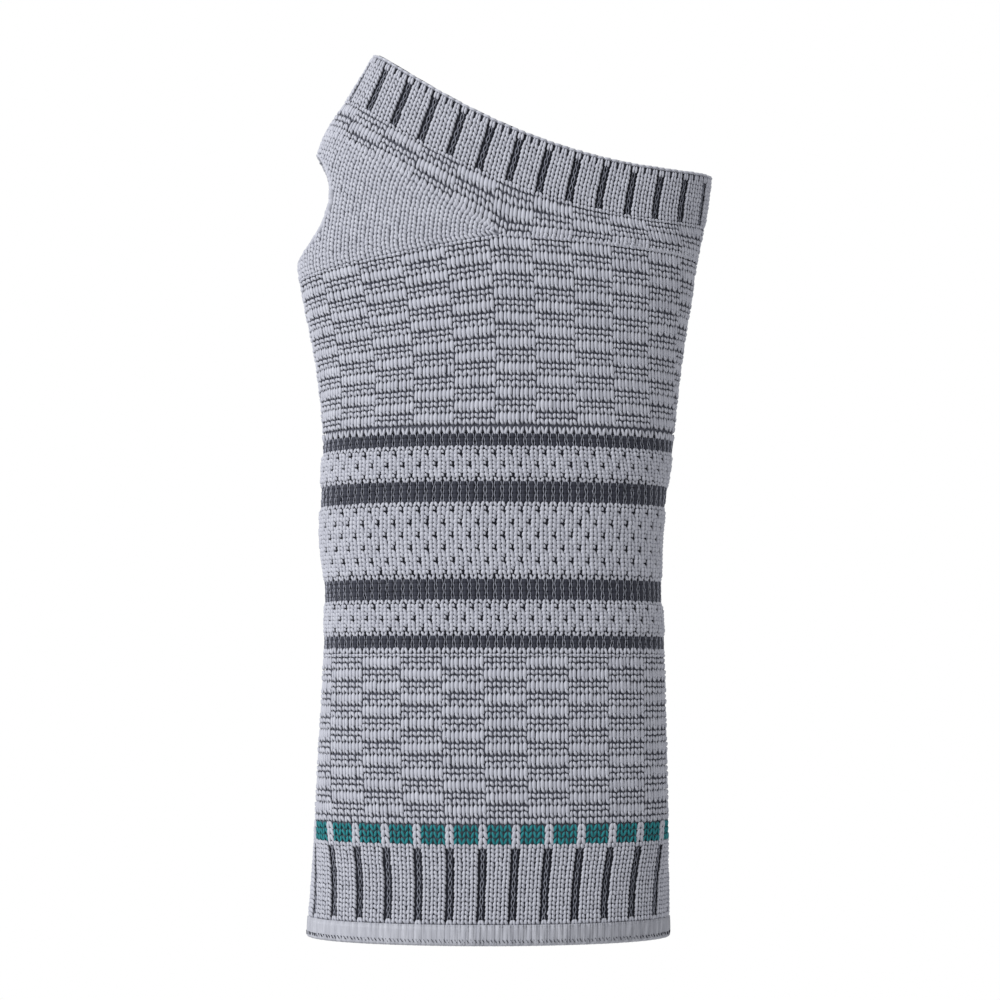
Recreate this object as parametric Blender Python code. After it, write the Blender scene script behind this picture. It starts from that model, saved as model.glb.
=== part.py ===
"""A knitted wrist support with a thumb hole, worn on a forearm that points up.

The whole support is knitted round in one go. Its pieces here are the zones of the
knitting: a hem, a ribbed forearm cuff, the forearm part, a band of relief knit with
four stripes at the wrist, the hand part, a gusset round the thumb hole and a ribbed
hand cuff. X runs from the thumb edge to the little finger edge, Y from the front to
the back, Z from the elbow to the fingers. The origin is in the middle of the wrist.
"""

import math

import bmesh
import bpy
from mathutils import Vector

# Lengths along the arm, in metres
FOREARM_LENGTH = 0.0663
HAND_LENGTH = 0.1113
RIM_DROP = 0.0256
RIM_DIP = 0.0081

# Heights of the knitted zones
HEM_HEIGHT = 0.0042
FOREARM_CUFF_HEIGHT = 0.0141
BAND_DROP = 0.0099
THIN_STRIPE = 0.0025
THICK_STRIPE = 0.0041
LOWER_RELIEF = 0.0068
MIDDLE_RELIEF = 0.0148
UPPER_RELIEF = 0.0068
HAND_CUFF_HEIGHT = 0.0100
RIDGES_HEIGHT = 0.0068
GUSSET_HEIGHT = 0.0306

# Widths and depths across the arm, over the outside
FOREARM_WIDTH = 0.0719
WRIST_WIDTH = 0.0676
PALM_WIDTH = 0.0814
RIM_WIDTH = 0.0693
FOREARM_DEPTH = 0.0346
WRIST_DEPTH = 0.0310
PALM_DEPTH = 0.0328
RIM_DEPTH = 0.0284

# The fabric
WALL = 0.0020
RELIEF_RISE = 0.00035
RIB_SINK = 0.0007
HEM_ROUNDING = 0.0012
ZONE_GAP = 0.0003

# The stitch columns, and the ribs that repeat with them
COLUMNS = 104
RIB_REPEAT = 4
RIB_WIDTH = 1.0
RIB_SLOPE = 0.3
PLAIN_STEP = 2

# How deep the ribs lie, as (share of the way up the cuff, share of RIB_SINK)
FOREARM_RIB_DEPTHS = ((0.0, 1.0), (0.5, 1.0), (1.0, 1.0))
HAND_RIB_DEPTHS = ((0.0, 1.0), (0.7, 1.0), (0.8, 0.0), (1.0, 0.0))

# The thumb hole in the thumb edge, and the gusset round it
THUMB_HOLE_HEIGHT = 0.0224
THUMB_HOLE_WIDTH = 0.0161
THUMB_HOLE_LIFT = 0.0035
THUMB_HOLE_SIDES = 28
GUSSET_REACH = 0.49
GUSSET_TIP_RISE = 0.0046
GUSSET_TIP_SIDE = 0.0024
GUSSET_TIP_HEIGHT = 0.0012
GUSSET_TIP_SHARE = 0.55

# The outline of the support: place along the arm as a share of the forearm length below
# the wrist and of the hand length above it, then the reach to the thumb edge and to the
# other edge as shares of a width
OUTLINE = (
    # place, width, thumb edge, other edge
    (-1.00, FOREARM_WIDTH, 0.513, 0.487),
    (-0.72, FOREARM_WIDTH, 0.496, 0.486),
    (-0.45, FOREARM_WIDTH, 0.486, 0.484),
    (-0.15, WRIST_WIDTH, 0.502, 0.508),
    (0.02, WRIST_WIDTH, 0.500, 0.500),
    (0.11, WRIST_WIDTH, 0.514, 0.503),
    (0.21, WRIST_WIDTH, 0.512, 0.522),
    (0.29, WRIST_WIDTH, 0.509, 0.540),
    (0.42, PALM_WIDTH, 0.442, 0.469),
    (0.56, PALM_WIDTH, 0.480, 0.500),
    (0.61, PALM_WIDTH, 0.489, 0.510),
    (0.70, PALM_WIDTH, 0.475, 0.536),
    (0.77, PALM_WIDTH, 0.458, 0.549),
    (0.81, PALM_WIDTH, 0.445, 0.553),
    (0.86, RIM_WIDTH, 0.490, 0.650),
    (0.91, RIM_WIDTH, 0.440, 0.650),
    (0.96, RIM_WIDTH, 0.392, 0.650),
    (1.00, RIM_WIDTH, 0.355, 0.650),
)

# What the rows of stitches have where they cross the little finger edge: the depth of the
# support as a share of a named depth, and the stitch column that lies on each edge,
# counted from the one in the middle of the front
ROWS = (
    # place, depth, share, column on the thumb edge, column on the other edge
    (-1.00, FOREARM_DEPTH, 1.00, -27.6, 29.7),
    (-0.83, FOREARM_DEPTH, 0.975, -26.9, 28.9),
    (-0.68, FOREARM_DEPTH, 0.95, -25.4, 27.0),
    (-0.45, FOREARM_DEPTH, 0.925, -24.2, 26.3),
    (-0.12, WRIST_DEPTH, 1.00, -23.0, 25.7),
    (0.02, WRIST_DEPTH, 1.00, -22.5, 24.9),
    (0.18, WRIST_DEPTH, 1.01, -22.4, 25.3),
    (0.29, WRIST_DEPTH, 1.035, -23.2, 26.9),
    (0.42, PALM_DEPTH, 1.00, -23.1, 28.8),
    (0.62, PALM_DEPTH, 1.00, -22.7, 32.3),
    (0.68, PALM_DEPTH, 0.91, -22.3, 34.9),
    (0.77, RIM_DEPTH, 1.00, -21.3, 35.2),
)


def between(low, high, share):
    """Return the value or row of values at a share of the way from low to high."""
    if isinstance(low, tuple):
        return tuple(between(one, other, share) for one, other in zip(low, high))
    return low + (high - low) * share


def smooth_value(points, place):
    """Read a smooth curve through (place, value) points, level past its ends."""
    if place <= points[0][0]:
        return points[0][1]
    for index in range(len(points) - 1):
        start, end = points[index], points[index + 1]
        if place <= end[0]:
            before = points[max(index - 1, 0)]
            after = points[min(index + 2, len(points) - 1)]
            width = end[0] - start[0]
            share = (place - start[0]) / width
            leave = (end[1] - before[1]) / (end[0] - before[0]) * width
            arrive = (after[1] - start[1]) / (after[0] - start[0]) * width
            square, cube = share ** 2, share ** 3
            return (
                start[1] * (2 * cube - 3 * square + 1)
                + leave * (cube - 2 * square + share)
                + end[1] * (3 * square - 2 * cube)
                + arrive * (cube - square)
            )
    return points[-1][1]


def share_of_length(height):
    """Turn a height into the share of the forearm or the hand length that the tables use."""
    return height / (FOREARM_LENGTH if height < 0 else HAND_LENGTH)


def column_of(table, column, scale=None):
    """Return the (place, value) points of one column, multiplied by the size it is a share of."""
    if scale is None:
        return [(row[0], row[column]) for row in table]
    return [(row[0], row[column] * row[scale]) for row in table]


THUMB_REACH = column_of(OUTLINE, 2, 1)
OTHER_REACH = column_of(OUTLINE, 3, 1)
DEPTH = column_of(ROWS, 2, 1)
THUMB_COLUMN = column_of(ROWS, 3)
OTHER_COLUMN = column_of(ROWS, 4)

# Rows of stitches: height at the thumb edge, height at the other edge, dip in the middle,
# and rise and slide to the side at the tip of the gusset
RIM = (HAND_LENGTH, HAND_LENGTH - RIM_DROP, -RIM_DIP, 0.0, 0.0)
CUFF_EDGE = (
    RIM[0] - 0.95 * HAND_CUFF_HEIGHT, RIM[1] - 1.05 * HAND_CUFF_HEIGHT, -RIM_DIP, 0.0, 0.0
)


def level(height):
    """Return a row that runs level round the arm."""
    return (height, height, 0.0, 0.0, 0.0)


def moved(row, lift):
    """Return a row moved up by lift."""
    return (row[0] + lift, row[1] + lift, *row[2:])


def ends(row):
    """Return where a row crosses the thumb edge and the other edge."""
    thumb = smooth_value(THUMB_REACH, share_of_length(row[0]))
    other = smooth_value(OTHER_REACH, share_of_length(row[1]))
    return -thumb, other


HEM_TOP = -FOREARM_LENGTH + HEM_HEIGHT
CUFF_TOP = HEM_TOP + FOREARM_CUFF_HEIGHT
BAND_PARTS = (
    # height, rise of the surface
    (THIN_STRIPE, 0.0),
    (LOWER_RELIEF, RELIEF_RISE),
    (THICK_STRIPE, 0.0),
    (MIDDLE_RELIEF, RELIEF_RISE),
    (THICK_STRIPE, 0.0),
    (UPPER_RELIEF, RELIEF_RISE),
    (THIN_STRIPE, 0.0),
)
BAND_TOP = sum(height for height, _ in BAND_PARTS) - BAND_DROP


def gusset_border(thumb, other, tip):
    """Return the row along a border of the gusset, from the thumb edge through its tip."""
    left, right = ends((thumb, other))
    rise = tip - between(thumb, other, GUSSET_REACH)
    slide = GUSSET_TIP_SIDE - between(left, right, GUSSET_REACH)
    return (thumb, other, 0.0, rise, slide)


def gusset_rows():
    """Return the rows along the gusset's lower and upper border, which meet at its tip."""
    upper = CUFF_EDGE[0] - RIDGES_HEIGHT
    lower = upper - GUSSET_HEIGHT
    other = CUFF_EDGE[1] - RIDGES_HEIGHT
    tip = between(lower, other, GUSSET_REACH) + GUSSET_TIP_RISE
    return gusset_border(lower, other, tip), gusset_border(upper, other, tip)


GUSSET_LOWER, GUSSET_UPPER = gusset_rows()


def tent(across):
    """Return 1 at the tip of the gusset, falling evenly to 0 at both edges."""
    if across < GUSSET_REACH:
        return across / GUSSET_REACH
    return (1 - across) / (1 - GUSSET_REACH)


def across_of_arc(arc, flatness, steps=60):
    """Return how far across half an ellipse a share of its length reaches, from 0 to 1."""
    lengths = [0.0]
    for step in range(steps):
        angle = math.pi * (step + 0.5) / steps
        lengths.append(lengths[-1] + math.hypot(math.sin(angle), flatness * math.cos(angle)))
    target = arc * lengths[-1]
    step = next(index for index in range(steps) if lengths[index + 1] >= target - 1e-9)
    part = (target - lengths[step]) / (lengths[step + 1] - lengths[step])
    return (1 - math.cos(math.pi * (step + part) / steps)) / 2


def surface(column, row):
    """Return the point of the outer surface where a stitch column crosses a row."""
    thumb, other, dip, rise, slide = row
    left, right = ends(row)
    place = share_of_length(other)
    half_depth = smooth_value(DEPTH, place) / 2
    first = smooth_value(THUMB_COLUMN, place)
    front = smooth_value(OTHER_COLUMN, place) - first
    turn = (column - first) % COLUMNS
    flatness = 2 * half_depth / (right - left)
    if turn <= front:
        across = across_of_arc(turn / front, flatness)
        side = -1
    else:
        across = 1 - across_of_arc((turn - front) / (COLUMNS - front), flatness)
        side = 1
    bulge = 2 * math.sqrt(max(across * (1 - across), 0.0))
    return Vector((
        between(left, right, across) + slide * tent(across),
        side * half_depth * bulge,
        between(thumb, other, across) + dip * bulge ** 2 + rise * tent(across),
    ))


def fabric(column, row, rise=0.0, lift=0.0):
    """Return the outer and the inner point of the fabric where a column crosses a row.

    rise moves the outer point off the surface, and lift moves both points up.
    """
    step = 0.5
    point = surface(column, row)
    along = surface(column + step, row) - surface(column - step, row)
    out = along.cross(surface(column, moved(row, ZONE_GAP)) - point).normalized()
    point.z += lift
    return point + out * rise, point - out * WALL


def plain_columns():
    """Return evenly spaced stitch columns once round the arm, with the first one again."""
    return [index * PLAIN_STEP for index in range(COLUMNS // PLAIN_STEP + 1)]


def ribbed_columns():
    """Return the corners of the ribs once round the arm, each as (column, sink)."""
    corners = []
    for rib in range(COLUMNS // RIB_REPEAT):
        middle = rib * RIB_REPEAT
        outer = RIB_WIDTH / 2 + RIB_SLOPE / 2
        inner = RIB_WIDTH / 2 - RIB_SLOPE / 2
        corners += [(middle - outer, 0.0), (middle - inner, RIB_SINK)]
        corners += [(middle + inner, RIB_SINK), (middle + outer, 0.0)]
    corners.append((corners[0][0] + COLUMNS, corners[0][1]))
    return corners


def new_sheet():
    """Return an empty mesh whose corners also remember their place on the inner face."""
    bm = bmesh.new()
    bm.verts.layers.float_vector.new("inner")
    return bm


def add_grid(bm, columns, rows, place):
    """Add a grid of faces whose corners lie where place puts each column and row."""
    inner = bm.verts.layers.float_vector["inner"]
    wide, high = len(columns) - 1, len(rows) - 1
    made = bmesh.ops.create_grid(bm, x_segments=wide, y_segments=high, size=0.5)
    for vert in made["verts"]:
        column = columns[round((vert.co.x + 0.5) * wide)]
        row = rows[round((vert.co.y + 0.5) * high)]
        vert.co, vert[inner] = place(column, row)


def finish(name, bm, material):
    """Close the seams of a sheet, extrude it to the inner face and make it an object."""
    bmesh.ops.remove_doubles(bm, verts=bm.verts, dist=ZONE_GAP / 30)
    inner = bm.verts.layers.float_vector["inner"]
    made = bmesh.ops.extrude_face_region(bm, geom=bm.faces, use_keep_orig=True)
    for item in made["geom"]:
        if isinstance(item, bmesh.types.BMVert):
            item.co = item[inner]
    bm.normal_update()
    bmesh.ops.recalc_face_normals(bm, faces=bm.faces)
    mesh = bpy.data.meshes.new(name)
    bm.to_mesh(mesh)
    bm.free()
    mesh.materials.append(material)
    mesh.shade_smooth()
    piece = bpy.data.objects.new(name, mesh)
    bpy.context.collection.objects.link(piece)
    return piece


def yarn(name, colour, roughness):
    """Return a matt textile material."""
    material = bpy.data.materials.new(name)
    material.use_nodes = True
    shader = material.node_tree.nodes["Principled BSDF"]
    shader.inputs["Base Color"].default_value = (*colour, 1.0)
    shader.inputs["Roughness"].default_value = roughness
    shader.inputs["Metallic"].default_value = 0.0
    return material


def make_hem(material):
    """The smooth sewn edge at the elbow end, rounded under."""
    bottom = -FOREARM_LENGTH
    rows = [
        # height, sink
        (bottom, HEM_ROUNDING),
        (bottom + HEM_ROUNDING * 0.3, HEM_ROUNDING * 0.3),
        (bottom + HEM_ROUNDING, 0.0),
        (HEM_TOP - ZONE_GAP, 0.0),
    ]
    bm = new_sheet()
    add_grid(bm, plain_columns(), rows, lambda column, row: fabric(column, level(row[0]), -row[1]))
    return finish("hem", bm, material)


def ribbed_cuff(name, low, high, depths, material):
    """A cuff between two rows, with a narrow sunk rib at every fourth stitch column.

    depths lists how deep the ribs lie, as (share of the way up, share of their depth).
    """
    bm = new_sheet()

    def place(column, row):
        return fabric(column[0], between(low, high, row[0]), -column[1] * row[1])

    add_grid(bm, ribbed_columns(), depths, place)
    return finish(name, bm, material)


def make_forearm_section(material):
    """The figured knit between the forearm cuff and the wrist band."""
    low, high = level(CUFF_TOP), level(-BAND_DROP - ZONE_GAP)
    rows = [between(low, high, share) for share in (0.0, 0.25, 0.5, 0.75, 1.0)]
    bm = new_sheet()
    add_grid(bm, plain_columns(), rows, fabric)
    return finish("forearm_section", bm, material)


def make_wrist_band(material):
    """The relief knit round the wrist, which stands a little proud of its four stripes."""
    rows = []
    height = -BAND_DROP
    for part_height, rise in BAND_PARTS:
        shoulder = RELIEF_RISE if rise else 0.0
        rows.append((height + shoulder, rise))
        if part_height == MIDDLE_RELIEF:
            rows.append((height + part_height / 2, rise))
        height += part_height
        rows.append((height - shoulder, rise))
    bm = new_sheet()
    add_grid(bm, plain_columns(), rows, lambda column, row: fabric(column, level(row[0]), row[1]))
    return finish("wrist_band", bm, material)


def in_gusset(column):
    """Tell whether a stitch column runs through the gusset, away from its two tips."""
    gap = surface(column, GUSSET_UPPER).z - surface(column, GUSSET_LOWER).z
    return gap > GUSSET_TIP_HEIGHT


def make_hand_section(material):
    """The knit of the hand, below, beside and above the gusset."""
    low = level(BAND_TOP + ZONE_GAP)
    high = moved(CUFF_EDGE, -ZONE_GAP)

    def below(column, share):
        at_gusset = share == 1.0 and in_gusset(column)
        lift = -ZONE_GAP / 2 if at_gusset else 0.0
        return fabric(column, between(low, GUSSET_LOWER, share), lift=lift)

    def above(column, share):
        if share == 0.0 and not in_gusset(column):
            return fabric(column, GUSSET_LOWER)
        lift = ZONE_GAP / 2 if share == 0.0 else 0.0
        return fabric(column, between(GUSSET_UPPER, high, share), lift=lift)

    bm = new_sheet()
    add_grid(bm, plain_columns(), (0.0, 0.2, 0.4, 0.6, 0.8, 1.0), below)
    add_grid(bm, plain_columns(), (0.0, 0.5, 1.0), above)
    return finish("hand_section", bm, material)


def make_thumb_hole():
    """The shape that the thumb hole is cut with: an oval, through the thumb edge only."""
    bm = bmesh.new()
    bmesh.ops.create_cone(
        bm, cap_ends=True, segments=THUMB_HOLE_SIDES, radius1=0.5, radius2=0.5, depth=PALM_WIDTH / 2
    )
    middle = GUSSET_LOWER[0] + THUMB_HOLE_LIFT + THUMB_HOLE_HEIGHT / 2
    for vert in bm.verts:
        height, width, along = vert.co
        vert.co = Vector((
            along - PALM_WIDTH / 2,
            -width * THUMB_HOLE_WIDTH,
            middle + height * THUMB_HOLE_HEIGHT,
        ))
    mesh = bpy.data.meshes.new("thumb_hole")
    bm.to_mesh(mesh)
    bm.free()
    cutter = bpy.data.objects.new("thumb_hole", mesh)
    bpy.context.collection.objects.link(cutter)
    cutter.hide_render = True
    cutter.display_type = "WIRE"
    return cutter


def make_thumb_gusset(material):
    """The plain knit wedge round the thumb hole, from a tip on the back to one on the front."""
    half = COLUMNS // 2
    inside = range(-half - half // 2, half // 2 + 1, PLAIN_STEP)
    inside = [(column, 0) for column in inside if in_gusset(column)]
    tips = [(inside[0][0], -PLAIN_STEP), (inside[-1][0], PLAIN_STEP)]

    def place(column, share):
        last, step = column
        if step:
            base = fabric(last, between(GUSSET_LOWER, GUSSET_UPPER, 0.5))
            end = fabric(last + step, GUSSET_LOWER)
            return [near.lerp(far, GUSSET_TIP_SHARE) for near, far in zip(base, end)]
        lift = ZONE_GAP / 2 * (1 - 2 * share)
        return fabric(last, between(GUSSET_LOWER, GUSSET_UPPER, share), lift=lift)

    bm = new_sheet()
    add_grid(bm, [tips[0], *inside, tips[1]], (0.0, 0.2, 0.4, 0.6, 0.8, 1.0), place)
    piece = finish("thumb_gusset", bm, material)
    hole = piece.modifiers.new("Thumb hole", "BOOLEAN")
    hole.operation = "DIFFERENCE"
    hole.solver = "EXACT"
    hole.object = make_thumb_hole()
    return piece


def make_support():
    """Make every zone of the support, from the hem up."""
    light = yarn("light grey yarn", (0.47, 0.49, 0.56), 0.85)
    relief = yarn("light grey relief knit", (0.42, 0.44, 0.51), 0.85)
    figured = yarn("figured grey knit", (0.36, 0.38, 0.45), 0.88)
    satin = yarn("smooth grey edge yarn", (0.52, 0.54, 0.60), 0.55)
    ribbed = yarn("grey rib knit", (0.40, 0.42, 0.49), 0.86)

    make_hem(satin)
    low, high = level(HEM_TOP), level(CUFF_TOP - ZONE_GAP)
    ribbed_cuff("forearm_cuff", low, high, FOREARM_RIB_DEPTHS, ribbed)
    make_forearm_section(figured)
    make_wrist_band(relief)
    make_hand_section(figured)
    make_thumb_gusset(light)
    ribbed_cuff("hand_cuff", CUFF_EDGE, RIM, HAND_RIB_DEPTHS, ribbed)


for old in list(bpy.data.objects):
    bpy.data.objects.remove(old)
make_support()
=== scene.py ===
"""Looks of the knitted wrist support: every zone of its knitting gets its real stitches.

Each zone is a dark ground cloth that lies a little inside the outer face, its colour partly
the slate inlay and partly painted shade of the gaps between the loops, with the light, dark
and teal loops of yarn knitted over it. Lengths are in metres, heights run from the elbow to
the fingers, and stitch columns are counted round the arm from the middle of the front, the
thumb edge to the left.
"""

import math

import bmesh
import bpy
import numpy as np
from mathutils import Matrix, Vector


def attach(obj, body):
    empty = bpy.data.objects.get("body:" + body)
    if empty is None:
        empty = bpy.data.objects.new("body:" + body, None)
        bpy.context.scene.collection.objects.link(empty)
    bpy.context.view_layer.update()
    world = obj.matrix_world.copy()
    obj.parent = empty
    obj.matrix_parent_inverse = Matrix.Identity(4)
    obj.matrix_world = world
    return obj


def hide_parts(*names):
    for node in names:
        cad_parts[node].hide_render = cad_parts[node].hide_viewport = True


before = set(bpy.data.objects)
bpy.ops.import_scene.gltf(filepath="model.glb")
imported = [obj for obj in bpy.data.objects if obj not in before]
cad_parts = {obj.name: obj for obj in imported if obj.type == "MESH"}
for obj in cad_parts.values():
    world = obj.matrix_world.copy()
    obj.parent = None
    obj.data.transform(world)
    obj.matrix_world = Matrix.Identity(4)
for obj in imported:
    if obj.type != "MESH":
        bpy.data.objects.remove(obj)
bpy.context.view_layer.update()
chance = np.random.default_rng(11)

# The shape of the support, as the solids have it
FOREARM_LENGTH = 0.0663
HAND_LENGTH = 0.1113
RIM_DROP = 0.0256
RIM_DIP = 0.0081
HEM_TOP = -0.0621
CUFF_TOP = -0.0480
BAND_BOTTOM = -0.0099
THIN_STRIPE = 0.0025
THICK_STRIPE = 0.0041
LOWER_RELIEF = 0.0068
MIDDLE_RELIEF = 0.0148
UPPER_RELIEF = 0.0068
HAND_CUFF_HEIGHT = 0.0100
RIDGES_HEIGHT = 0.0068
GUSSET_HEIGHT = 0.0306
GUSSET_REACH = 0.49
GUSSET_TIP_RISE = 0.0046
GUSSET_TIP_SIDE = 0.0024
THUMB_HOLE_HEIGHT = 0.0224
THUMB_HOLE_WIDTH = 0.0161
THUMB_HOLE_LIFT = 0.0035
COLUMNS = 104
WALL = 0.0020

# Rows of the forearm section, and the height of a course of the gusset
DASH_BOTTOM = -0.0472
DASH_TOP = -0.0435
FIGURE_BOTTOM = -0.0422
LAST_COURSE = 0.0010
GUSSET_COURSE = 0.00087

OUTLINE = (
    # place, reach to the thumb edge, reach to the other edge
    (-1.00, 0.03688, 0.03502), (-0.72, 0.03566, 0.03494), (-0.45, 0.03494, 0.03480),
    (-0.15, 0.03394, 0.03434), (0.02, 0.03380, 0.03380), (0.11, 0.03475, 0.03400),
    (0.21, 0.03461, 0.03529), (0.29, 0.03441, 0.03650), (0.42, 0.03598, 0.03818),
    (0.56, 0.03907, 0.04070), (0.61, 0.03980, 0.04151), (0.70, 0.03867, 0.04363),
    (0.77, 0.03728, 0.04469), (0.81, 0.03622, 0.04501), (0.86, 0.03396, 0.04505),
    (0.91, 0.03049, 0.04505), (0.96, 0.02717, 0.04505), (1.00, 0.02460, 0.04505),
)
ROWS = (
    # place at the little finger edge, depth, column on the thumb edge, on the other edge
    (-1.00, 0.03460, -27.6, 29.7), (-0.83, 0.03374, -26.9, 28.9),
    (-0.68, 0.03287, -25.2, 27.2), (-0.45, 0.03201, -23.9, 26.7),
    (-0.12, 0.03100, -22.8, 26.2), (0.02, 0.03100, -22.6, 26.1),
    (0.18, 0.03131, -22.7, 26.6), (0.29, 0.03209, -23.0, 28.7),
    (0.42, 0.03280, -23.9, 30.7), (0.62, 0.03280, -23.1, 32.8),
    (0.68, 0.02985, -22.3, 34.9), (0.77, 0.02840, -21.3, 35.2),
)


def between(low, high, share):
    """Return what lies at a share of the way from low to high."""
    return low + (high - low) * share


def smooth_curve(table, column):
    """Return places and values of a smooth curve through one column of a table."""
    places = np.array([row[0] for row in table])
    values = np.array([row[column] for row in table])
    spread_places = np.concatenate([places[:1], places, places[-1:]])
    spread_values = np.concatenate([values[:1], values, values[-1:]])
    slopes = (spread_values[2:] - spread_values[:-2]) / (spread_places[2:] - spread_places[:-2])
    fine = np.linspace(places[0], places[-1], 1200)
    index = np.clip(np.searchsorted(places, fine) - 1, 0, len(places) - 2)
    width = places[index + 1] - places[index]
    share = (fine - places[index]) / width
    square, cube = share ** 2, share ** 3
    smooth = (
        values[index] * (2 * cube - 3 * square + 1)
        + slopes[index] * width * (cube - 2 * square + share)
        + values[index + 1] * (3 * square - 2 * cube)
        + slopes[index + 1] * width * (cube - square)
    )
    return fine, smooth


THUMB_REACH = smooth_curve(OUTLINE, 1)
OTHER_REACH = smooth_curve(OUTLINE, 2)
DEPTH = smooth_curve(ROWS, 1)
THUMB_COLUMN = smooth_curve(ROWS, 2)
OTHER_COLUMN = smooth_curve(ROWS, 3)


def share_of_length(height):
    """Turn heights into shares of the forearm or the hand length."""
    return np.where(height < 0, height / FOREARM_LENGTH, height / HAND_LENGTH)


# Half an ellipse: how far across it each share of its length reaches, for each flatness
FLATNESS = np.linspace(0.2, 0.8, 25)
ARC_SHARES = np.linspace(0, 1, 201)
turned = np.linspace(0, math.pi, 721)
ACROSS = []
for flatness in FLATNESS:
    steps = np.hypot(np.sin(turned), flatness * np.cos(turned))
    lengths = np.concatenate([[0], np.cumsum((steps[1:] + steps[:-1]) / 2)])
    ACROSS.append(np.interp(ARC_SHARES, lengths / lengths[-1], turned))
ACROSS = np.array(ACROSS)


def angle_of_arc(arc, flatness):
    """Return the angle along half an ellipse at a share of its length."""
    place = np.clip((flatness - FLATNESS[0]) / (FLATNESS[1] - FLATNESS[0]), 0, len(FLATNESS) - 1.001)
    step = np.clip(arc, 0, 1) * (len(ARC_SHARES) - 1.001)
    low, start = place.astype(int), step.astype(int)
    over, along = place - low, step - start
    near = between(ACROSS[low, start], ACROSS[low, start + 1], along)
    far = between(ACROSS[low + 1, start], ACROSS[low + 1, start + 1], along)
    return between(near, far, over)


def tent(across):
    """Return 1 at the tip of the gusset, falling evenly to 0 at both edges."""
    return np.where(across < GUSSET_REACH, across / GUSSET_REACH, (1 - across) / (1 - GUSSET_REACH))


def surface(column, row):
    """Return the points of the outer face where stitch columns cross rows.

    A row is its height at the thumb edge and at the other edge, its dip in the middle,
    and its rise and slide to the side at the tip of the gusset.
    """
    column, row = np.asarray(column, float), np.asarray(row, float)
    thumb, other, dip, rise, slide = np.moveaxis(row, -1, 0)
    left = -np.interp(share_of_length(thumb), *THUMB_REACH)
    right = np.interp(share_of_length(other), *OTHER_REACH)
    place = share_of_length(other)
    half_depth = np.interp(place, *DEPTH) / 2
    first = np.interp(place, *THUMB_COLUMN)
    front = np.interp(place, *OTHER_COLUMN) - first
    turn = (column - first) % COLUMNS
    flatness = 2 * half_depth / (right - left)
    on_front = turn <= front
    arc = np.where(on_front, turn / front, (turn - front) / (COLUMNS - front))
    angle = angle_of_arc(arc, flatness)
    across = (1 - np.cos(angle)) / 2
    across = np.where(on_front, across, 1 - across)
    side = np.where(on_front, -1, 1)
    bulge = np.sin(angle)
    return np.stack([
        between(left, right, across) + slide * tent(across),
        side * half_depth * bulge,
        between(thumb, other, across) + dip * bulge ** 2 + rise * tent(across),
    ], -1)


def level(height):
    """Return a row that runs level round the arm."""
    return np.array([height, height, 0.0, 0.0, 0.0])


def moved(row, lift):
    """Return a row moved up by lift."""
    return row + np.array([lift, lift, 0.0, 0.0, 0.0])


def unit(vectors):
    """Return vectors at length 1."""
    return vectors / np.linalg.norm(vectors, axis=-1, keepdims=True)


def frames(column, low, high):
    """Return the middle of stitches, one column across, one course up, and out of the cloth."""
    middle = between(low, high, 0.5)
    across = surface(column + 0.5, middle) - surface(column - 0.5, middle)
    up = surface(column, high) - surface(column, low)
    return surface(column, middle), across, up, unit(np.cross(across, up))


RIM = np.array([HAND_LENGTH, HAND_LENGTH - RIM_DROP, -RIM_DIP, 0.0, 0.0])
CUFF_EDGE = np.array([
    RIM[0] - 0.95 * HAND_CUFF_HEIGHT, RIM[1] - 1.05 * HAND_CUFF_HEIGHT, -RIM_DIP, 0.0, 0.0
])
BAND_HEIGHTS = np.cumsum([
    BAND_BOTTOM, THIN_STRIPE, LOWER_RELIEF, THICK_STRIPE, MIDDLE_RELIEF, THICK_STRIPE,
    UPPER_RELIEF, THIN_STRIPE,
])
BAND_TOP = BAND_HEIGHTS[-1]


def gusset_border(thumb, other, tip):
    """Return the row along a border of the gusset, from the thumb edge through its tip."""
    left = -np.interp(share_of_length(thumb), *THUMB_REACH)
    right = np.interp(share_of_length(other), *OTHER_REACH)
    rise = tip - between(thumb, other, GUSSET_REACH)
    slide = GUSSET_TIP_SIDE - between(left, right, GUSSET_REACH)
    return np.array([thumb, other, 0.0, rise, slide])


upper_edge = CUFF_EDGE[0] - RIDGES_HEIGHT
lower_edge = upper_edge - GUSSET_HEIGHT
other_edge = CUFF_EDGE[1] - RIDGES_HEIGHT
tip_height = between(lower_edge, other_edge, GUSSET_REACH) + GUSSET_TIP_RISE
GUSSET_LOWER = gusset_border(lower_edge, other_edge, tip_height)
GUSSET_UPPER = gusset_border(upper_edge, other_edge, tip_height)
HOLE_MIDDLE = lower_edge + THUMB_HOLE_LIFT + THUMB_HOLE_HEIGHT / 2


# Materials

def colour(code):
    """Turn an sRGB hex colour into the linear one that the shaders take."""
    parts = [int(code[index:index + 2], 16) / 255 for index in (1, 3, 5)]
    linear = [part / 12.92 if part <= 0.04045 else ((part + 0.055) / 1.055) ** 2.4 for part in parts]
    return (*linear, 1.0)


def add_node(tree, kind, settings, links):
    """Add a node, set its properties and sockets, and link sockets of earlier nodes to it."""
    node = tree.nodes.new(kind)
    for name, value in settings.items():
        if isinstance(name, str) and hasattr(node, name):
            setattr(node, name, value)
        else:
            node.inputs[name].default_value = value
    for name, source in links.items():
        tree.links.new(source, node.inputs[name])
    return node


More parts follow.
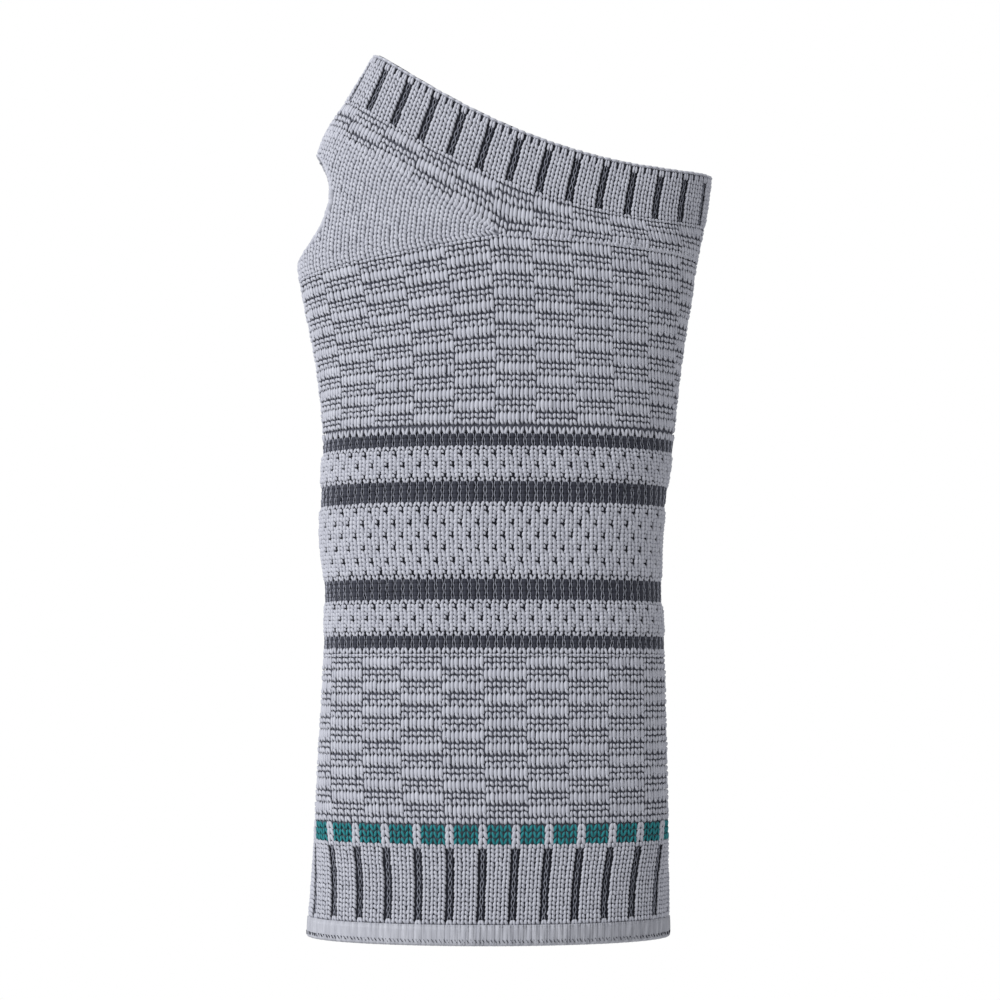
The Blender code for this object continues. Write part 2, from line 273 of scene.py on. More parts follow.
def yarn(name, light, dark, roughness, sheen, fuzz=0.35, drift=0.006, streak=1.0, vary=0.35):
    """Return a textured textile yarn, whose colour drifts between two tones.

    Each loop carries its own shade, and fine fibres roughen its surface. The tones change
    over a length of drift, streak draws them out upwards, and vary says by how much.
    """
    material = bpy.data.materials.new(name)
    material.use_nodes = True
    tree = material.node_tree
    shader = tree.nodes["Principled BSDF"]
    shader.inputs["Roughness"].default_value = roughness
    shader.inputs["Sheen Weight"].default_value = sheen
    shader.inputs["Sheen Roughness"].default_value = 0.5
    shader.inputs["Specular IOR Level"].default_value = 0.25
    place = add_node(tree, "ShaderNodeTexCoord", {}, {})
    shade = add_node(tree, "ShaderNodeAttribute", {"attribute_name": "shade"}, {})
    drawn = add_node(
        tree, "ShaderNodeMapping", {"Scale": (1, 1, 1 / streak)}, {"Vector": place.outputs["Object"]}
    )
    clouds = add_node(
        tree, "ShaderNodeTexNoise", {"Scale": 1 / drift, "Detail": 3.0}, {"Vector": drawn.outputs["Vector"]}
    )
    total = add_node(
        tree, "ShaderNodeMath", {"operation": "MULTIPLY_ADD", 1: vary},
        {0: clouds.outputs["Fac"], 2: shade.outputs["Fac"]},
    )
    tones = add_node(tree, "ShaderNodeMix", {"data_type": "RGBA"}, {"Factor": total.outputs[0]})
    tones.inputs["A"].default_value = colour(dark)
    tones.inputs["B"].default_value = colour(light)
    fibres = add_node(
        tree, "ShaderNodeTexNoise", {"Scale": 1 / 0.00022, "Detail": 2.0, "Roughness": 0.6},
        {"Vector": place.outputs["Object"]},
    )
    bump = add_node(
        tree, "ShaderNodeBump", {"Strength": fuzz, "Distance": 0.00012},
        {"Height": fibres.outputs["Fac"]},
    )
    tree.links.new(tones.outputs["Result"], shader.inputs["Base Color"])
    tree.links.new(bump.outputs["Normal"], shader.inputs["Normal"])
    return material


# Textured polyamide yarn, cool grey with a breath of lilac: soft, matt, slightly fuzzy
LIGHT = yarn("light grey textured polyamide yarn", "#BFC1CB", "#A9ABB6", 0.85, 0.10)
# The dark covered elastic yarn of the stripes and ribs: slate, close to black in its gaps
DARK = yarn("slate covered elastic yarn", "#383A45", "#2A2C37", 0.80, 0.05)
# The teal polyamide of the dashes
TEAL = yarn("teal textured polyamide yarn", "#27868D", "#1A686F", 0.80, 0.10)
# The fine light filaments that cross the dark yarn
FILAMENT = yarn("grey polyamide filament", "#A5A8B5", "#8C8F9C", 0.60, 0.0)
# The smoother stretched yarn of the sewn hem, with streaks along its strands that are partly random tone of
# the yarn and partly painted sheen and shade between the strands
SATIN = yarn("smooth grey hem yarn with painted sheen streaks", "#C6C8D1", "#8E909B", 0.55, 0.10, 0.15, 0.0009, 7.0, 1.2)
YARNS = [LIGHT, DARK, TEAL, FILAMENT, SATIN]
LIGHT_YARN, DARK_YARN, TEAL_YARN, FILAMENT_YARN, SATIN_YARN = range(5)
# The elastic inlay that shows between the loops, its colour partly the slate yarn's own and partly painted
# shade of the gaps, darker where the fabric is more open
DARK_GROUND_AND_SHADE = yarn("slate inlay yarn with painted gap shade", "#4A4C57", "#363842", 0.9, 0.0)
# Under the figured knit: slate inlay with lighter painted shade of the gaps between the light floats
MIDDLE_GROUND_AND_SHADE = yarn("slate inlay with painted gap shade under light floats", "#6A6C77", "#50525D", 0.9, 0.0)
LIGHT_GROUND = yarn("light grey plain knit ground", "#ACAEB9", "#989AA6", 0.9, 0.0)
# The purl side on the inside: the same light yarn with the slate inlay showing through
PURL = yarn("grey purl side of the knit", "#A3A5B1", "#7F818C", 0.9, 0.05)


# Stitches, modelled once each: across in stitch columns, up in courses, out in metres

MM = 0.001


def stitch(legs, aspect):
    """Model one stitch out of its legs and return its points, triangles and yarns.

    A leg is (form, foot, head, width, depth, yarn), its depths in millimetres. Aspect is a
    course's height over a column's width.
    """
    bm = bmesh.new()
    for form, foot, head, width, depth, slot in legs:
        foot = Vector((foot[0], foot[1], foot[2] * MM))
        head = Vector((head[0], head[1], head[2] * MM))
        along = (head - foot) / 2
        span = math.hypot(along.x, along.y * aspect)
        side = Vector((along.y * aspect, -along.x / aspect, 0)) / span * width / 2
        out = Vector((0, 0, depth * MM / 2))
        middle = (foot + head) / 2
        matrix = Matrix((
            (side.x, out.x, along.x, middle.x), (side.y, out.y, along.y, middle.y),
            (side.z, out.z, along.z, middle.z), (0, 0, 0, 1),
        ))
        if form == "grain":
            made = bmesh.ops.create_icosphere(bm, subdivisions=1, radius=1, matrix=matrix)
        elif form == "round":
            made = bmesh.ops.create_uvsphere(bm, u_segments=6, v_segments=4, radius=1, matrix=matrix)
        else:
            made = bmesh.ops.create_cone(
                bm, cap_ends=True, segments=3, radius1=1, radius2=1, depth=2, matrix=matrix
            )
        for face in {face for vert in made["verts"] for face in vert.link_faces}:
            face.material_index = slot
    bmesh.ops.recalc_face_normals(bm, faces=bm.faces)
    bmesh.ops.triangulate(bm, faces=bm.faces)
    bm.verts.index_update()
    points = np.array([vert.co for vert in bm.verts])
    triangles = np.array([[vert.index for vert in face.verts] for face in bm.faces])
    slots = np.array([face.material_index for face in bm.faces])
    bm.free()
    return points, triangles, slots


def left_leg(place, reach, width, height, depth):
    """Return the left leg of a stitch, whose head lies over the foot of the next one."""
    foot, head = (place - 0.07, -reach, height - 0.08), (place + 0.05, reach, height + 0.08)
    return ("grain", foot, head, width, depth, LIGHT_YARN)


def threads(low, high, height):
    """Return two fine filaments that draw apart, or together, over one course."""
    return tuple(
        ("wire", (side * low, -0.5, height), (side * high, 0.5, height), 0.13, 0.20, FILAMENT_YARN)
        for side in (-1, 1)
    )


def rib(low, high):
    """Return a stitch of a sunk dark rib."""
    return stitch((
        ("grain", (-0.28, -0.70, -0.98), (-0.10, 0.50, -0.76), 0.40, 0.50, DARK_YARN),
        ("grain", (0.42, -0.65, -0.98), (0.14, 0.50, -0.76), 0.40, 0.50, DARK_YARN),
        *threads(low, high, -0.60),
    ), 0.5)


def dark_column(low, high):
    """Return a stitch of a dark stripe, with the light wale's filaments beside it."""
    return stitch((
        ("grain", (0.50, -0.80, -0.55), (0.50, 0.80, -0.50), 0.80, 0.60, DARK_YARN),
        *threads(low, high, -0.34),
    ), 0.5)


JERSEY = stitch((
    left_leg(-0.25, 0.74, 0.50, -0.42, 0.60),
    ("grain", (0.45, -0.66, -0.58), (0.03, 0.58, -0.26), 0.46, 0.60, LIGHT_YARN),
), 0.5)
TEAL_JERSEY = stitch((
    ("grain", (-0.44, -0.70, -0.55), (-0.08, 0.55, -0.26), 0.38, 0.50, TEAL_YARN),
    ("grain", (0.46, -0.70, -0.55), (0.10, 0.55, -0.26), 0.38, 0.50, TEAL_YARN),
), 0.75)
SINGLE = stitch((
    ("round", (-0.42, -0.85, -0.50), (-0.12, 0.62, -0.24), 0.56, 0.60, LIGHT_YARN),
    ("round", (0.50, -0.75, -0.50), (0.08, 0.62, -0.22), 0.52, 0.60, LIGHT_YARN),
), 0.75)
PLAIN = stitch((
    left_leg(-0.25, 0.76, 0.50, -0.42, 0.56),
    ("grain", (0.46, -0.70, -0.52), (0.02, 0.60, -0.28), 0.50, 0.54, LIGHT_YARN),
), 0.5)
SMALL = stitch((
    left_leg(-0.26, 0.60, 0.46, -0.46, 0.56),
    ("grain", (0.44, -0.44, -0.48), (0.00, 0.52, -0.24), 0.46, 0.56, LIGHT_YARN),
), 0.7)
# The small stitch that hangs from a tall one, with a dark line above it
UNDER = stitch((
    left_leg(-0.26, 0.50, 0.44, -0.48, 0.56),
    ("grain", (0.44, -0.44, -0.48), (0.02, 0.36, -0.24), 0.46, 0.56, LIGHT_YARN),
), 0.7)
TALL = stitch((
    ("grain", (-0.27, -0.56, -0.50), (-0.25, 0.64, -0.46), 0.52, 0.56, LIGHT_YARN),
    ("grain", (0.25, -0.34, -0.46), (0.22, 0.66, -0.42), 0.62, 0.54, LIGHT_YARN),
    ("grain", (0.44, -0.50, -0.36), (0.06, -0.08, -0.26), 0.40, 0.46, LIGHT_YARN),
), 1.4)
RIBS = (rib(0.05, 0.20), rib(0.20, 0.05))
STRIPES = (dark_column(0.08, 0.18), dark_column(0.18, 0.08))
ROPE = stitch((
    left_leg(-0.27, 0.80, 0.62, -0.22, 0.80),
    ("round", (0.47, -0.70, -0.30), (0.03, 0.60, -0.02), 0.48, 0.64, LIGHT_YARN),
), 0.5)
ARCH = stitch((
    left_leg(-0.27, 0.80, 0.62, -0.22, 0.80),
    ("round", (0.36, -0.45, -0.25), (0.00, 0.60, -0.05), 0.42, 0.56, LIGHT_YARN),
), 0.5)
BEAD = stitch((
    left_leg(-0.28, 0.80, 0.56, -0.22, 0.80),
    ("round", (0.16, -0.30, -0.20), (0.00, 0.62, -0.10), 0.34, 0.46, LIGHT_YARN),
), 0.5)
SLIP = stitch((
    left_leg(-0.28, 0.80, 0.58, -0.22, 0.80),
    ("round", (0.40, -0.95, -0.35), (-0.04, 0.45, -0.25), 0.42, 0.56, LIGHT_YARN),
), 0.5)
# Light loops that hang over the top of a dark stripe, and those that rise into its foot
FOOT = stitch((
    ("grain", (0.48, -0.85, -0.50), (0.14, 0.60, -0.28), 0.40, 0.60, LIGHT_YARN),
    ("grain", (0.52, -0.85, -0.50), (0.90, 0.60, -0.28), 0.38, 0.60, LIGHT_YARN),
), 0.5)
ROOF = stitch((
    ("grain", (-0.38, -0.60, -0.30), (-0.07, 0.85, -0.50), 0.44, 0.60, LIGHT_YARN),
    ("grain", (0.42, -0.60, -0.30), (0.07, 0.85, -0.50), 0.42, 0.60, LIGHT_YARN),
), 0.5)
# The cast-off edge of the rim, and the loops under it, drawn together with a pit between them
RIM_BAND = stitch((("grain", (-0.70, 0.14, -0.95), (0.70, 0.20, -0.95), 0.42, 1.90, LIGHT_YARN),), 0.5)
RIM_LOOP = stitch((
    ("round", (-0.20, -0.80, -0.45), (-0.16, 0.90, -0.42), 0.40, 0.60, LIGHT_YARN),
    ("round", (0.22, -0.80, -0.45), (0.16, 0.90, -0.42), 0.40, 0.60, LIGHT_YARN),
), 0.5)
# The thin lip round the thumb hole
LIP = stitch((("grain", (-1.12, 0.0, -0.95), (1.12, 0.0, -0.95), 0.80, 1.80, LIGHT_YARN),), 1.1)
HEM_LOOP = stitch((
    ("grain", (-0.30, -0.45, -0.70), (0.05, 0.50, -0.45), 0.50, 0.60, LIGHT_YARN),
    ("grain", (0.42, -0.45, -0.70), (0.10, 0.50, -0.45), 0.46, 0.60, LIGHT_YARN),
), 0.7)
# A thin dark yarn bar near the bottom of the hem: painted shade of a notch in its edge
HEM_NOTCH_SHADE = stitch((("wire", (-0.14, 0.50, -0.18), (0.14, -0.50, -0.24), 0.10, 0.30, DARK_YARN),), 0.5)


def all_round(low, high, courses, columns=None):
    """Return column, lower row, upper row and course of every stitch between two rows."""
    columns = np.arange(COLUMNS) if columns is None else np.asarray(columns)
    edges = np.linspace(0, 1, courses + 1)
    column = np.tile(columns, courses).astype(float)
    start = np.repeat(edges[:-1], len(columns))[:, None]
    end = np.repeat(edges[1:], len(columns))[:, None]
    course = np.repeat(np.arange(courses), len(columns))
    return column, between(low, high, start), between(low, high, end), course


def place_stitches(column, low, high):
    """Return where stitches lie, with the small unevenness of real knitting."""
    column = column + chance.normal(0, 0.02, len(column))
    middle, across, up, out = frames(column, low, high)
    middle = middle + out * chance.normal(0, 0.04 * MM, (len(column), 1))
    middle = middle + up * chance.normal(0, 0.03, (len(column), 1))
    return middle, across * chance.normal(1, 0.05, (len(column), 1)), up, out


def knit(name, parts):
    """Join copies of stitches into one piece.

    parts lists (stitch, middles, columns across, courses up, directions out).
    """
    all_points, all_triangles, all_slots, shades, count = [], [], [], [], 0
    for (points, triangles, slots), middle, across, up, out in parts:
        placed = middle[:, None] + across[:, None] * points[:, 0:1]
        placed = placed + up[:, None] * points[:, 1:2] + out[:, None] * points[:, 2:3]
        all_points.append(placed.reshape(-1, 3))
        numbers = triangles + (np.arange(len(middle)) * len(points))[:, None, None] + count
        all_triangles.append(numbers.reshape(-1, 3))
        all_slots.append(np.tile(slots, len(middle)))
        shades.append(np.repeat(chance.uniform(0.15, 0.65, len(middle)), len(points)))
        count += len(middle) * len(points)
    points, triangles = np.concatenate(all_points), np.concatenate(all_triangles)
    mesh = bpy.data.meshes.new(name)
    mesh.vertices.add(len(points))
    mesh.vertices.foreach_set("co", points.ravel())
    mesh.loops.add(triangles.size)
    mesh.loops.foreach_set("vertex_index", triangles.ravel())
    mesh.polygons.add(len(triangles))
    mesh.polygons.foreach_set("loop_start", np.arange(0, triangles.size, 3))
    mesh.polygons.foreach_set("material_index", np.concatenate(all_slots))
    mesh.update(calc_edges=True)
    mesh.shade_smooth()
    shade = mesh.attributes.new("shade", "FLOAT", "POINT")
    shade.data.foreach_set("value", np.concatenate(shades))
    for material in YARNS:
        mesh.materials.append(material)
    return new_piece(name, mesh)


def new_piece(name, mesh):
    """Make a mesh a piece that rides on the support."""
    piece = bpy.data.objects.new(name, mesh)
    bpy.context.collection.objects.link(piece)
    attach(piece, "root")
    return piece


def pick(template, stitches, chosen=None):
    """Place the chosen stitches of a layout."""
    column, low, high, _ = stitches
    if chosen is None:
        chosen = np.full(len(column), True)
    return (template, *place_stitches(column[chosen], low[chosen], high[chosen]))


def is_rib(column):
    """Tell which columns are the dark ribs, every fourth one."""
    return np.mod(column, 4) == 0


# The figured knit: columns in a block, and the shares of a period where its stitches end
BLOCK_WIDTH = 5
TALL_TOP = 0.50
SMALL_TOP = 0.76


def figured(low, high, periods, first_block, early):
    """Lay out the figured knit: blocks five columns wide of tall and small stitches by turns.

    Each block has one tall and two small stitches a period, and every other block starts
    half a period later. early says by how much of a period the first one is cut short.
    """
    small, tall, under = [], [], []
    for column in range(-COLUMNS // 2, COLUMNS // 2):
        block = (column - first_block) // BLOCK_WIDTH
        shift = early + 0.5 * (block % 2)
        for period in range(-2, math.ceil(periods) + 2):
            for kind, start, end in (
                (tall, 0.0, TALL_TOP), (small, TALL_TOP, SMALL_TOP), (under, SMALL_TOP, 1.0)
            ):
                start = (period + start - shift) / periods
                end = (period + end - shift) / periods
                if end - max(start, 0) > 0.1 / periods and min(end, 1) - start > 0.1 / periods:
                    kind.append((column, max(start, 0), min(end, 1)))
    parts = []
    for template, placed in ((SMALL, small), (UNDER, under), (TALL, tall)):
        column, start, end = np.array(placed).T
        start, end = start[:, None], end[:, None]
        parts.append((template, *place_stitches(column, between(low, high, start), between(low, high, end))))
    return parts


def relief(low, high, rows, odd):
    """Lay out the relief knit: raised ropes, broken by a bead in a hole at every other row.

    A row is three courses tall.
    """
    courses = rows * 3
    stitches = all_round(level(low), level(high), courses)
    column, _, _, course = stitches
    row, place = course // 3, course % 3
    broken = (column + row + odd) % 2 == 0
    foot, roof = course == 0, course == courses - 1
    inner = ~foot & ~roof
    return [
        pick(FOOT, stitches, foot), pick(ROOF, stitches, roof),
        pick(ROPE, stitches, ~broken & inner), pick(ARCH, stitches, broken & inner & (place == 2)),
        pick(BEAD, stitches, broken & (place == 1)), pick(SLIP, stitches, broken & inner & (place == 0)),
    ]


def by_turns(templates, stitches, chosen):
    """Place the chosen stitches, with two templates on courses by turns."""
    odd = stitches[3] % 2 == 1
    return [pick(templates[0], stitches, chosen & ~odd), pick(templates[1], stitches, chosen & odd)]


def stripe(low, high, courses):
    """Lay out a dark stripe."""
    stitches = all_round(level(low), level(high), courses)
    return by_turns(STRIPES, stitches, stitches[3] >= 0)


# The ground cloth under the loops, and the inside of the support

HALF_COLUMNS = np.arange(0, COLUMNS * 2 + 1) / 2
# Ground cloths stop this far short of their zone's edge
GAP = 0.00015
# Rows of corners stand a moment apart where the direction up a cloth is measured
STEP_UP = 0.0003


def even(column, share):
    """The ground lies evenly deep under the loops."""
    return np.full(len(column), 0.80 * MM)


def under_ribs(column, share):
    """The ground lies deeper under the dark ribs."""
    off = np.abs((column + 2) % 4 - 2)
    return np.where(off < 0.75, 1.25, 0.80) * MM


def strands(column, share):
    """The uneven strands of the hem, three to a column, which turn in under the edge."""
    strand = np.round(column * 6).astype(int)
    ridge = np.where(strand % 2 == 0, 0.16, 0.46) * MM
    uneven = 0.14 * MM * np.sin(strand * 1.7 + 3 * share + 2.1 * np.sin(strand * 0.37))
    turned = 1.0 * MM * np.clip(1 - share / 0.3, 0, 1) ** 2
    return ridge + uneven + turned


def rows_between(low, high, shares):
    """Return rows at shares of the way up, or evenly spaced if shares is their number."""
    if isinstance(shares, int):
        shares = np.linspace(0, 1, shares + 1)
    return [between(low, high, share) for share in shares]


def new_sheet():
    """Return an empty mesh whose corners also remember their place on the inner face."""
    bm = bmesh.new()
    bm.verts.layers.float_vector.new("inner")
    return bm


def add_grid(bm, columns, rows, sink):
    """Add a grid of cloth between an outer face under the loops and the inner face.

    The corners of the inner face stand in and out by turns, as purl bumps do.
    """
    inner = bm.verts.layers.float_vector["inner"]
    wide, high = len(columns) - 1, len(rows) - 1
    made = bmesh.ops.create_grid(bm, x_segments=wide, y_segments=high, size=0.5)["verts"]
    across = np.array([round((vert.co.x + 0.5) * wide) for vert in made])
    up = np.array([round((vert.co.y + 0.5) * high) for vert in made])
    column, row = np.asarray(columns, float)[across], np.asarray(rows)[up]
    middle, _, _, out = frames(column, moved(row, -STEP_UP), moved(row, STEP_UP))
    bump = 0.22 * MM * ((np.round(column * 2) + up) % 2)
    outer_points = middle - out * sink(column, up / high)[:, None]
    inner_points = middle - out * (WALL - bump)[:, None]
    for vert, outer_point, inner_point in zip(made, outer_points, inner_points):
        vert.co, vert[inner] = outer_point, inner_point


def close_sheet(bm, node, ground):
    """Extrude a sheet to its inner face and make it a piece in the place of a node."""
    bmesh.ops.remove_doubles(bm, verts=bm.verts, dist=0.00002)
    inner = bm.verts.layers.float_vector["inner"]
    made = bmesh.ops.extrude_face_region(bm, geom=bm.faces, use_keep_orig=True)
    for item in made["geom"]:
        if isinstance(item, bmesh.types.BMVert):
            item.co = item[inner]
        elif isinstance(item, bmesh.types.BMFace):
            item.material_index = 1
    bm.normal_update()
    bmesh.ops.recalc_face_normals(bm, faces=bm.faces)
    mesh = bpy.data.meshes.new(node + "_cloth")
    bm.to_mesh(mesh)
    bm.free()
    mesh.shade_smooth()
    mesh.materials.append(ground)
    mesh.materials.append(PURL)
    piece = new_piece(node + "_cloth", mesh)
    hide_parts(node)
    return piece


def make_hem():
    """The smooth sewn edge: fine strands that turn under, with a dark yarn bar every half column near the
    bottom as painted shade of a notch.
    """
    low, high = level(-FOREARM_LENGTH), level(HEM_TOP)
    bm = new_sheet()
    columns = np.arange(0, COLUMNS * 6 + 1) / 6
    shares = (0.0, 0.04, 0.12, 0.2, 0.3, 0.5, 0.75, 1.0)
    add_grid(bm, columns, rows_between(low, moved(high, -GAP), shares), strands)
    cloth = close_sheet(bm, "hem", SATIN)
    loops = all_round(moved(high, -0.0004), moved(high, 0.0008), 1)
    # Dark bars every half column near the bottom edge, painted shade of the hem's notch gaps
    notch_shades = all_round(moved(low, 0.0007), moved(low, 0.0013), 1, np.arange(COLUMNS * 2) / 2)
    sewn = knit("hem_stitches", [pick(HEM_LOOP, loops, is_rib(loops[0])), pick(HEM_NOTCH_SHADE, notch_shades)])
    return [cloth, sewn]


def make_forearm_cuff(hem):
    """Jersey in threes between sunk dark ribs; the hem is sewn to it, and the hem argument is not used."""
    low, high = level(HEM_TOP), level(CUFF_TOP)
    bm = new_sheet()
    add_grid(bm, HALF_COLUMNS, rows_between(moved(low, GAP), moved(high, -GAP), 17), under_ribs)
    cloth = close_sheet(bm, "forearm_cuff", DARK_GROUND_AND_SHADE)
    stitches = all_round(low, high, 17)
    sunk = is_rib(stitches[0])
    loops = knit("forearm_cuff_stitches", [pick(JERSEY, stitches, ~sunk)] + by_turns(RIBS, stitches, sunk))


def make_forearm_section():
    """The row of teal dashes, then the figured knit up to the first stripe."""
    low, high = level(CUFF_TOP), level(BAND_BOTTOM)
    bm = new_sheet()
    add_grid(bm, HALF_COLUMNS, rows_between(moved(low, GAP), moved(high, -GAP), 42), even)
    cloth = close_sheet(bm, "forearm_section", MIDDLE_GROUND_AND_SHADE)
    dash_low, dash_high, figure_low = level(DASH_BOTTOM), level(DASH_TOP), level(FIGURE_BOTTOM)
    dashes = all_round(dash_low, dash_high, 3)
    single = is_rib(dashes[0])
    parts = [
        pick(JERSEY, all_round(low, dash_low, 1)),
        pick(TEAL_JERSEY, dashes, ~single), pick(SINGLE, dashes, single),
        pick(SMALL, all_round(dash_high, figure_low, 1)),
        pick(ROOF, all_round(moved(high, -LAST_COURSE), high, 1)),
    ]
    parts += figured(figure_low, moved(high, -LAST_COURSE), 6.64, -4, 0.0)
    knit("forearm_section_stitches", parts)


def make_wrist_band():
    """Relief knit in three belts between four dark stripes."""
    heights = BAND_HEIGHTS
    bm = new_sheet()
    add_grid(bm, HALF_COLUMNS, rows_between(level(BAND_BOTTOM + GAP), level(BAND_TOP - GAP), 49), even)
    cloth = close_sheet(bm, "wrist_band", DARK_GROUND_AND_SHADE)
    dark = stripe(heights[0], heights[1], 3) + stripe(heights[2], heights[3], 5)
    dark += stripe(heights[4], heights[5], 5) + stripe(heights[6], heights[7], 3)
    pieces = [
        knit("lower_relief", relief(heights[1], heights[2], 3, 1)),
        knit("middle_relief", relief(heights[3], heights[4], 6, 0)),
        knit("upper_relief", relief(heights[5], heights[6], 3, 0)),
        knit("dark_stripes", dark),
    ]


def make_hand_section():
    """The figured knit of the hand up to the gusset, and the knit above it under the cuff."""
    low = level(BAND_TOP)
    first = moved(low, 0.00125)
    bm = new_sheet()
    add_grid(bm, HALF_COLUMNS, rows_between(moved(low, GAP), GUSSET_LOWER, 32), even)
    add_grid(bm, HALF_COLUMNS, rows_between(GUSSET_UPPER, moved(CUFF_EDGE, -GAP), 9), even)
    cloth = close_sheet(bm, "hand_section", MIDDLE_GROUND_AND_SHADE)
    parts = [pick(FOOT, all_round(low, first, 1))] + figured(first, GUSSET_LOWER, 7.74, -2, 0.42)
    seam = pick(SMALL, all_round(moved(GUSSET_UPPER, -0.0007), moved(GUSSET_UPPER, 0.0005), 1))
    pieces = [
        knit("hand_section_stitches", parts),
        knit("ridge_stitches", [seam] + figured(GUSSET_UPPER, CUFF_EDGE, 1.5, -2, 0.16)),
    ]


def gap_of_gusset(column):
    """Return how tall the gusset is along a column."""
    return surface(column, GUSSET_UPPER)[..., 2] - surface(column, GUSSET_LOWER)[..., 2]


def from_hole(points):
    """Return how far points lie from the middle of the thumb hole, 1 on its edge."""
    over = np.hypot(points[..., 1] / THUMB_HOLE_WIDTH, (points[..., 2] - HOLE_MIDDLE) / THUMB_HOLE_HEIGHT)
    return np.where(points[..., 0] < 0, 2 * over, 9.0)


def cut_thumb_hole(piece):
    """Cut the oval thumb hole out of the gusset."""
    bm = bmesh.new()
    bmesh.ops.create_cone(bm, cap_ends=True, segments=64, radius1=0.5, radius2=0.5, depth=0.04)
    matrix = Matrix((
        (0, 0, 1, -0.04), (0, -THUMB_HOLE_WIDTH, 0, 0), (THUMB_HOLE_HEIGHT, 0, 0, HOLE_MIDDLE), (0, 0, 0, 1)
    ))
    bmesh.ops.transform(bm, matrix=matrix, verts=bm.verts)
    bmesh.ops.recalc_face_normals(bm, faces=bm.faces)
    mesh = bpy.data.meshes.new("hole")
    bm.to_mesh(mesh)
    bm.free()
    mesh.materials.append(LIGHT_GROUND)
    cutter = bpy.data.objects.new("hole", mesh)
    bpy.context.collection.objects.link(cutter)
    cut = piece.modifiers.new("thumb hole", "BOOLEAN")
    cut.operation = "DIFFERENCE"
    cut.solver = "EXACT"
    cut.object = cutter
    done = piece.evaluated_get(bpy.context.evaluated_depsgraph_get())
    piece.data = bpy.data.meshes.new_from_object(done)
    piece.modifiers.clear()
    bpy.data.objects.remove(cutter)


def edge_of_hole(count):
    """Return where the edge stitches of the thumb hole lie, and their directions."""
    columns, shares = np.meshgrid(np.linspace(-52, 0, 521), np.linspace(0, 1, 241))
    cloth = surface(columns, between(GUSSET_LOWER, GUSSET_UPPER, shares[..., None])).reshape(-1, 3)
    turns = np.arange(count) / count * 2 * math.pi
    aims = np.stack([
        THUMB_HOLE_WIDTH / 2 * np.cos(turns), HOLE_MIDDLE + THUMB_HOLE_HEIGHT / 2 * np.sin(turns)
    ], -1)
    near = [np.argmin(np.hypot(*(cloth[:, 1:] - aim).T) + (cloth[:, 0] > 0)) for aim in aims]
    points = np.column_stack([cloth[near, 0], aims])
    along = (np.roll(points, -1, 0) - np.roll(points, 1, 0)) / 2
    centre = np.array([points[:, 0].mean() + 0.030, 0, HOLE_MIDDLE])
    out = points - centre
    out[:, 2] = 0
    out = unit(out - along * np.sum(out * along, -1, keepdims=True) / np.sum(along ** 2, -1, keepdims=True))
    return points, along, unit(np.cross(out, along)), out


def make_thumb_gusset():
    """Plain jersey whose courses are dropped towards the tips of the wedge."""
    columns = np.arange(-104, 105) / 2
    columns = columns[(columns < 26) & (gap_of_gusset(columns) > 0.0003)]
    bm = new_sheet()
    add_grid(bm, columns, rows_between(GUSSET_LOWER, GUSSET_UPPER, 30), even)
    cloth = close_sheet(bm, "thumb_gusset", LIGHT_GROUND)
    cut_thumb_hole(cloth)
    parts = []
    for column in range(-77, 27):
        gap = np.linalg.norm(surface(column, GUSSET_UPPER) - surface(column, GUSSET_LOWER))
        courses = int(round(gap / GUSSET_COURSE))
        if courses > 0:
            stitches = all_round(GUSSET_LOWER, GUSSET_UPPER, courses, [column])
            middle = surface(stitches[0], between(stitches[1], stitches[2], 0.5))
            kept = from_hole(middle) > 1.04
            if kept.any():
                parts.append(pick(PLAIN, stitches, kept))
    points, along, inward, out = edge_of_hole(76)
    parts.append((LIP, points, along, -inward * 0.0009, out))
    loops = knit("thumb_gusset_stitches", parts)


def make_hand_cuff():
    """Jersey in threes between dark ribs that stop short of the rim, and the rim's edge."""
    bm = new_sheet()
    add_grid(bm, HALF_COLUMNS, rows_between(moved(CUFF_EDGE, GAP), RIM, 12), under_ribs)
    cloth = close_sheet(bm, "hand_cuff", DARK_GROUND_AND_SHADE)
    stitches = all_round(CUFF_EDGE, RIM, 12)
    column, _, _, course = stitches
    below_rim = course < 10
    sunk = is_rib(column) & below_rim
    parts = [pick(JERSEY, stitches, ~sunk & below_rim)] + by_turns(RIBS, stitches, sunk)
    parts += [pick(RIM_LOOP, stitches, course == 10), pick(RIM_BAND, stitches, course == 11)]
    knit("hand_cuff_stitches", parts)


make_forearm_cuff(make_hem())
make_forearm_section()
make_wrist_band()
make_hand_section()
make_thumb_gusset()
make_hand_cuff()

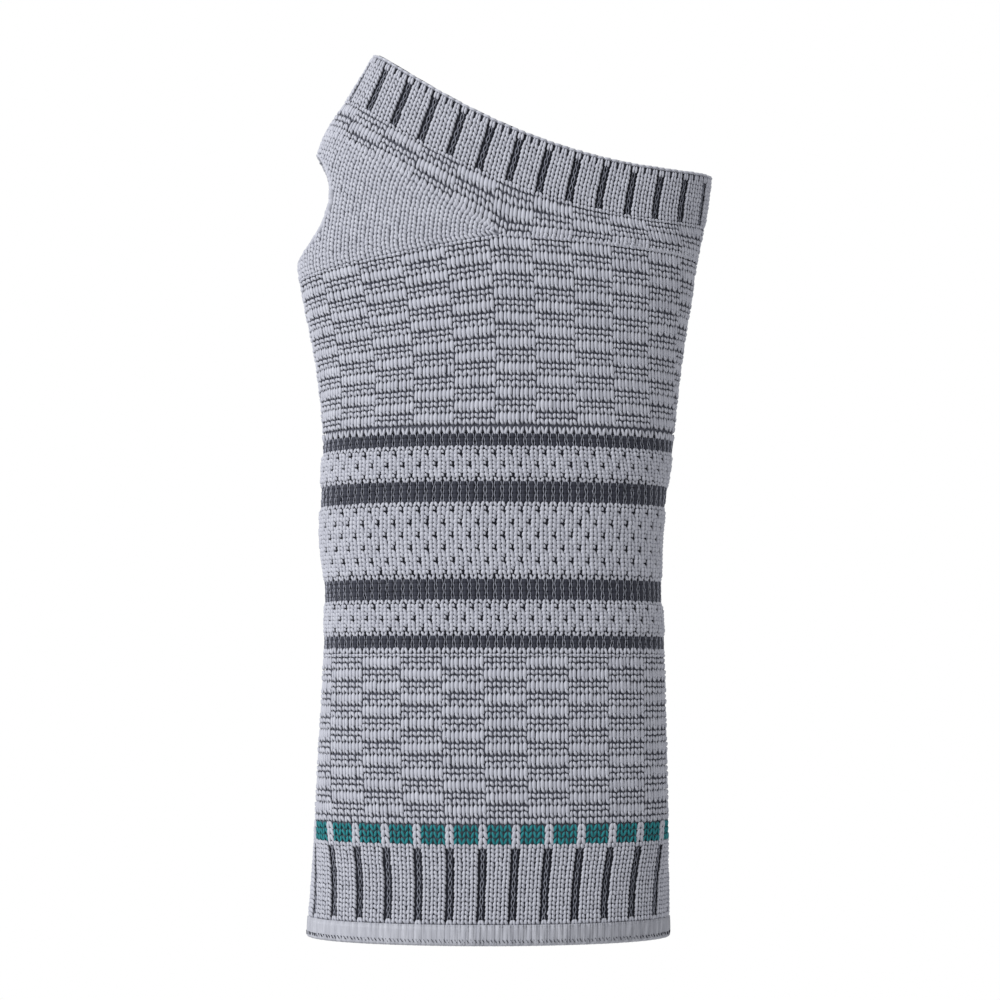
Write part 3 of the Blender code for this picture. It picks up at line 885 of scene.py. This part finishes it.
# Camera at the photograph's place: level with the wrist, looking a little upwards
TILT = math.atan(180 / 2100)
camera = bpy.data.objects.new("camera", bpy.data.cameras.new("camera"))
bpy.context.collection.objects.link(camera)
camera.location = (0.0014, -0.420, -0.016)
camera.rotation_euler = (math.radians(90) + TILT, 0, 0)
camera.data.lens = 75.6
camera.data.sensor_width = 36
camera.data.clip_start = 0.01
bpy.context.scene.camera = camera
bpy.context.scene.view_settings.view_transform = "Standard"

# A white studio: even light all round and one soft key from the upper left
world = bpy.data.worlds.new("studio")
bpy.context.scene.world = world
world.use_nodes = True
tree = world.node_tree
sky = tree.nodes["Background"]
sky.inputs["Color"].default_value = (1, 1, 1, 1)
seen = add_node(tree, "ShaderNodeLightPath", {}, {})
strength = add_node(
    tree, "ShaderNodeMapRange", {"To Min": 0.63, "To Max": 1.0}, {"Value": seen.outputs["Is Camera Ray"]}
)
tree.links.new(strength.outputs["Result"], sky.inputs["Strength"])


def area_light(name, place, target, size, power):
    """Add a soft square light that faces a target."""
    light = bpy.data.lights.new(name, "AREA")
    light.size = size
    light.energy = power
    lamp = bpy.data.objects.new(name, light)
    bpy.context.collection.objects.link(lamp)
    lamp.location = place
    lamp.rotation_euler = (Vector(target) - Vector(place)).to_track_quat("-Z", "Y").to_euler()
    return lamp


area_light("key", (-0.80, -0.55, 0.45), (0, 0, 0.02), 0.45, 9.2)

# The support is held up as worn, with a plain pale floor a metre below it
bm = bmesh.new()
bmesh.ops.create_circle(bm, cap_ends=True, segments=64, radius=3.0, matrix=Matrix.Translation((0, 0, -1.0)))
floor_mesh = bpy.data.meshes.new("floor")
bm.to_mesh(floor_mesh)
bm.free()
floor = bpy.data.objects.new("floor", floor_mesh)
bpy.context.collection.objects.link(floor)
pale = bpy.data.materials.new("matt white paint")
pale.use_nodes = True
pale.node_tree.nodes["Principled BSDF"].inputs["Base Color"].default_value = colour("#F2F2F2")
pale.node_tree.nodes["Principled BSDF"].inputs["Roughness"].default_value = 0.9
floor_mesh.materials.append(pale)
